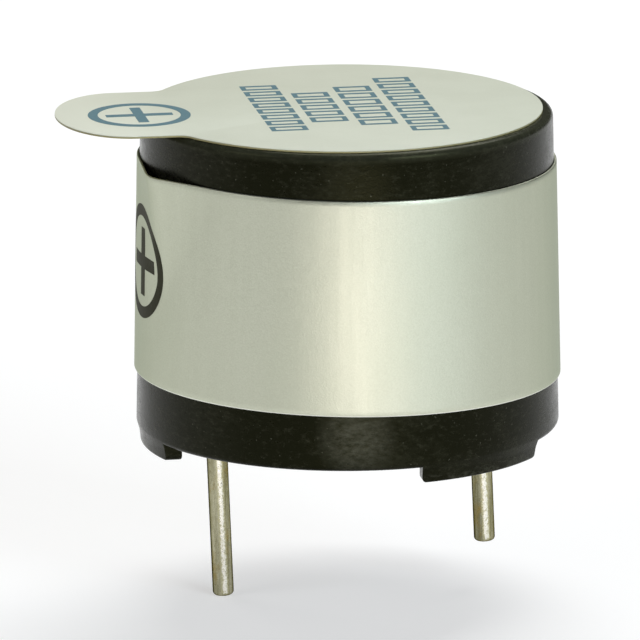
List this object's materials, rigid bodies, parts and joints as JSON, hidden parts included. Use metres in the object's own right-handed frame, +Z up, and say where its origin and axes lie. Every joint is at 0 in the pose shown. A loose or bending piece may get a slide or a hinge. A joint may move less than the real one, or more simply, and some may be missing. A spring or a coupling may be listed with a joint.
{
  "type": "magnetic buzzer",
  "caption": "Round black self-driven magnetic buzzer with silver side foil, pull-off paper seal over its sound port, feet and two round pins for a circuit board.",
  "frame": {"origin": "on the case axis in the seating plane, the plane of the three feet, midway between the pins where they enter the board", "axes": "+Z up along the case axis to the sound port; X along the line of the pins, the positive pin and the pull tab towards -X; -Z points into the circuit board"},
  "size_m": [0.0143, 0.0121, 0.0141],
  "materials": {
    "case_plastic": "semi-gloss moulded black",
    "seal_paper": "satin coated paper",
    "label_foil": "satin silver foil",
    "ring_plastic": "natural moulded",
    "spring_steel": "rolled",
    "soft_iron": "plated",
    "ferrite": "sintered matt",
    "bobbin_plastic": "natural moulded",
    "enamelled_copper": "enamelled wire",
    "board_laminate": "satin resist",
    "track_copper": "etched",
    "chip_resin": "moulded matt",
    "tinned_metal": "tinned",
    "resistor_ceramic": "glazed",
    "solder": "bright",
    "pin_metal": "drawn and tinned",
    "potting_resin": "cured, slightly glossy",
    "print_blue": "printed ink on the paper seal",
    "print_olive": "printed ink on the foil"
  },
  "bodies": {
    "root": {"case": "case_plastic", "wash_seal": "seal_paper", "side_label": "label_foil", "support_ring": "ring_plastic", "diaphragm": "spring_steel", "armature": "soft_iron", "ring_magnet": "ferrite", "yoke_plate": "soft_iron", "pole_core": "soft_iron", "coil_bobbin": "bobbin_plastic", "coil_winding": "enamelled_copper", "coil_leads": "enamelled_copper", "circuit_board": "board_laminate", "board_tracks": "track_copper", "drive_transistor": "chip_resin", "transistor_leads": "tinned_metal", "chip_resistor": "resistor_ceramic", "resistor_caps": "tinned_metal", "solder_joints": "solder", "pin_positive": "pin_metal", "pin_negative": "pin_metal", "potting": "potting_resin"}
  },
  "joints": []
}
